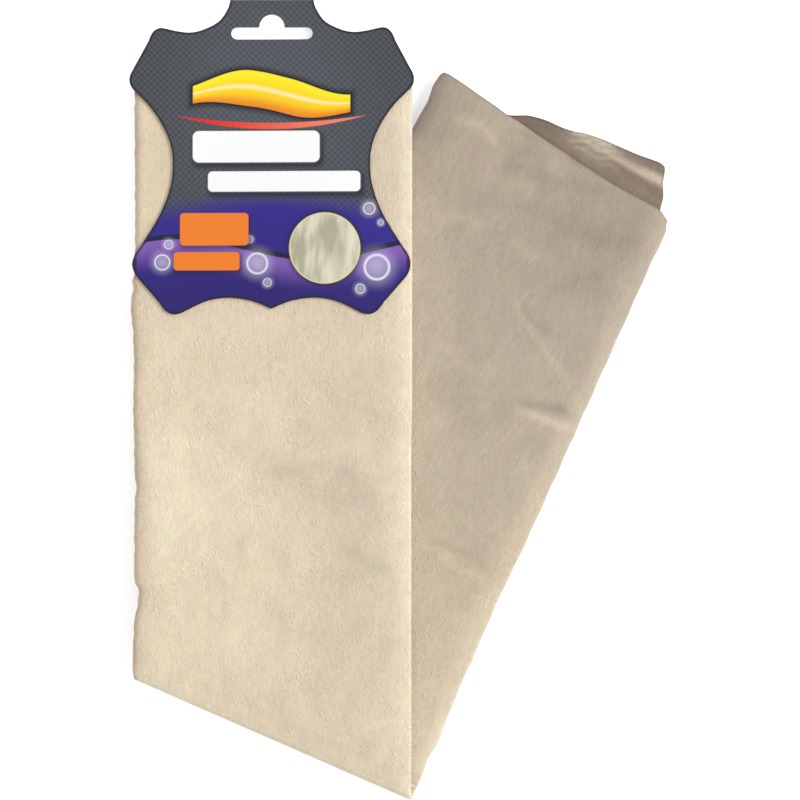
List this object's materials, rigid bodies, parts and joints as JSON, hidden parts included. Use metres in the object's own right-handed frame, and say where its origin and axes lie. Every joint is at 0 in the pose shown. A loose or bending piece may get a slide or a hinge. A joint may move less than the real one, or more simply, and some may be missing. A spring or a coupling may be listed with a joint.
{
  "type": "chamois leather",
  "caption": "Chamois leather folded into a flat band and once across, its halves fanned, with a hide-shaped header card and a hanging slot.",
  "frame": {"origin": "middle of the bounding box, on the table that the folded skin lies on", "axes": "+Z away from the table, towards the viewer; +Y up the front half to the card's neck; +X to the side that the back half fans out to"},
  "size_m": [0.212, 0.3156, 0.0152],
  "materials": {
    "skin": "undyed oil-tanned suede, fine nap",
    "card": "printed board, slight gloss",
    "adhesive": "clear yellowish adhesive"
  },
  "bodies": {
    "lower_half": {"skin_back_half": "skin", "skin_bottom_fold": "skin"},
    "upper_half": {"skin_front_half": "skin"},
    "header": {"header_card": "card", "front_adhesive_strip": "adhesive", "rear_adhesive_strip": "adhesive"}
  },
  "joints": [
    {"name": "unfold", "type": "hinge", "parent": "lower_half", "child": "upper_half", "pos_m": [-0.04936, -0.12735, 0.00698], "axis": [0.9191, -0.3939, 0], "range_deg": [0, 178], "deforming": ["skin_bottom_fold"]},
    {"name": "header_pull_off", "type": "slide", "parent": "upper_half", "child": "header", "axis": [0.4509, 0.8926, 0], "range_m": [0, 0.105]}
  ]
}
